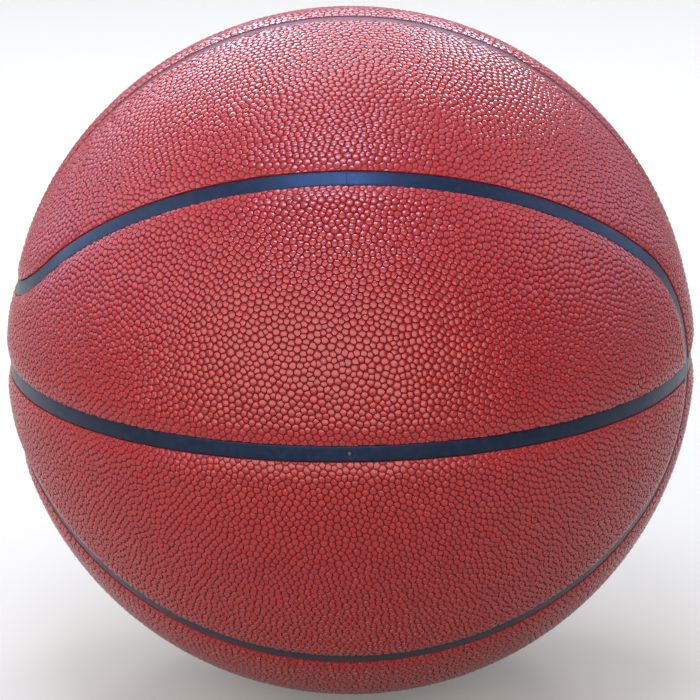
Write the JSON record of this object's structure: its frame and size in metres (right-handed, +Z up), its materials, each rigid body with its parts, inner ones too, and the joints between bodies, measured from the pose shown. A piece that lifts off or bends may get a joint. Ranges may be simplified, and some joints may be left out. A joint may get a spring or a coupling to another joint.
{
  "type": "basketball",
  "caption": "Inflated indoor basketball with a pebbled cover of like panels, recessed black rubber channel strips, a wound carcass, a bladder and a self-closing needle valve.",
  "frame": {"origin": "centre of the ball", "axes": "+Z up; the straight channels lie in the planes Z = 0 and Y = 0 and cross at the two poles on X; -Y is the front, where the valve opens"},
  "size_m": [0.24, 0.2406, 0.2406],
  "materials": {
    "cover": "pebbled composite leather, satin",
    "strip": "smooth satin black rubber",
    "carcass": "moulded matt rubber",
    "winding": "wound nylon thread",
    "bladder": "smooth butyl rubber",
    "valve": "moulded satin rubber",
    "plug": "soft grey rubber"
  },
  "bodies": {
    "root": {"front_upper_panel": "cover", "front_lower_panel": "cover", "back_upper_panel": "cover", "back_lower_panel": "cover", "top_front_panel": "cover", "top_back_panel": "cover", "bottom_front_panel": "cover", "bottom_back_panel": "cover", "curved_strip": "strip", "level_strip": "strip", "upright_strip": "strip", "level_stub_front": "strip", "level_stub_back": "strip", "upright_stub_top": "strip", "upright_stub_bottom": "strip", "carcass": "carcass", "winding": "winding", "bladder": "bladder", "valve_patch": "bladder", "valve_housing": "valve", "valve_plug": "plug"}
  },
  "joints": []
}
